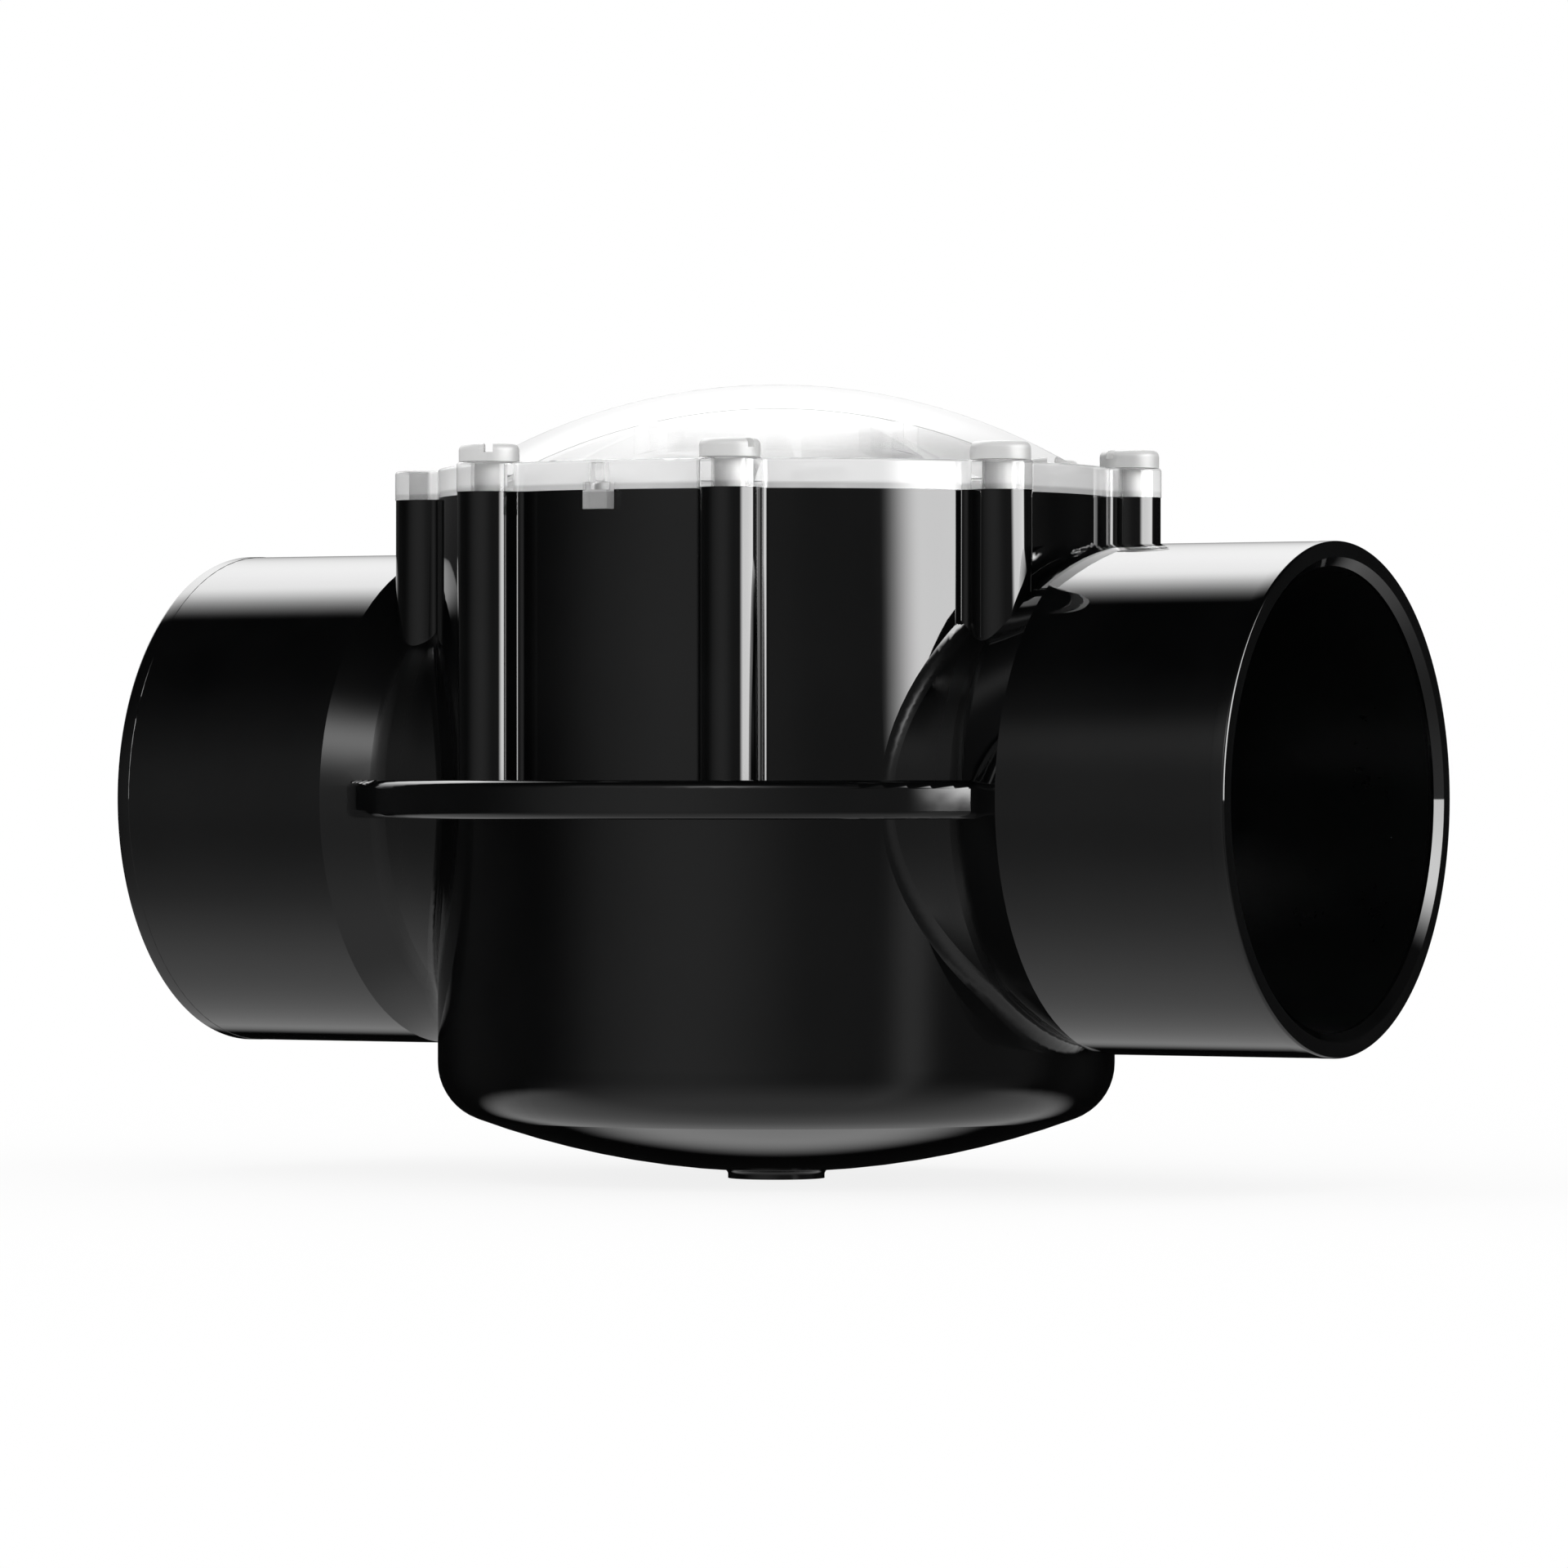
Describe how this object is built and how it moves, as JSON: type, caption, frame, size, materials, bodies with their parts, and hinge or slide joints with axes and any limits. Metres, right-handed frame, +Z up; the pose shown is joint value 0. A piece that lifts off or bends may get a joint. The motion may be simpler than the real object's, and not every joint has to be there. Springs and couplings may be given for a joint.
{
  "type": "non-return valve",
  "caption": "In-line swing non-return valve: black drum body with two pipe sockets on one axis, a rib plate, screw bosses and a clear domed cover held by slotted screws.",
  "frame": {"origin": "centre of the round foot pad's underside, on the body's upright axis", "axes": "+X along the flow from inlet to outlet, +Z up through the clear cover, +Y across"},
  "size_m": [0.183, 0.1256, 0.1159],
  "materials": {
    "black_gloss_plastic": "high gloss moulded",
    "clear_plastic": "clear moulded plastic",
    "stainless_steel": "satin",
    "grey_plastic": "moulded, slightly satin",
    "white_plastic": "self-lubricating plastic",
    "black_rubber": "soft matt"
  },
  "bodies": {
    "housing": {"valve_body": "black_gloss_plastic", "clear_cover": "clear_plastic", "cover_o_ring": "black_rubber", "cover_screws": "stainless_steel", "seat_frame": "grey_plastic", "seat_frame_o_ring": "black_rubber", "stop_bumper": "black_rubber", "hinge_bush_left": "white_plastic", "hinge_bush_right": "white_plastic", "torsion_spring_left": "stainless_steel", "torsion_spring_right": "stainless_steel"},
    "swing_arm_set": {"swing_arm": "grey_plastic", "hinge_pin": "stainless_steel", "pin_clip_left": "stainless_steel", "pin_clip_right": "stainless_steel"},
    "disc_set": {"flapper_disc": "grey_plastic", "disc_seal": "black_rubber", "seal_retainer": "stainless_steel", "disc_stud": "stainless_steel", "disc_washer": "stainless_steel", "disc_nut": "stainless_steel"}
  },
  "joints": [
    {"name": "flapper_swing", "type": "hinge", "parent": "housing", "child": "swing_arm_set", "pos_m": [-0.01816, 0, 0.09115], "axis": [0, -1, 0], "range_deg": [0, 75], "stiffness_Nm_per_rad": 0.11, "springref_deg": -34.38, "deforming": ["torsion_spring_left", "torsion_spring_right"]},
    {"name": "disc_spin", "type": "hinge", "parent": "swing_arm_set", "child": "disc_set", "pos_m": [-0.01234, 0, 0.05816], "axis": [0.9848, 0, 0.1736], "continuous": true}
  ]
}
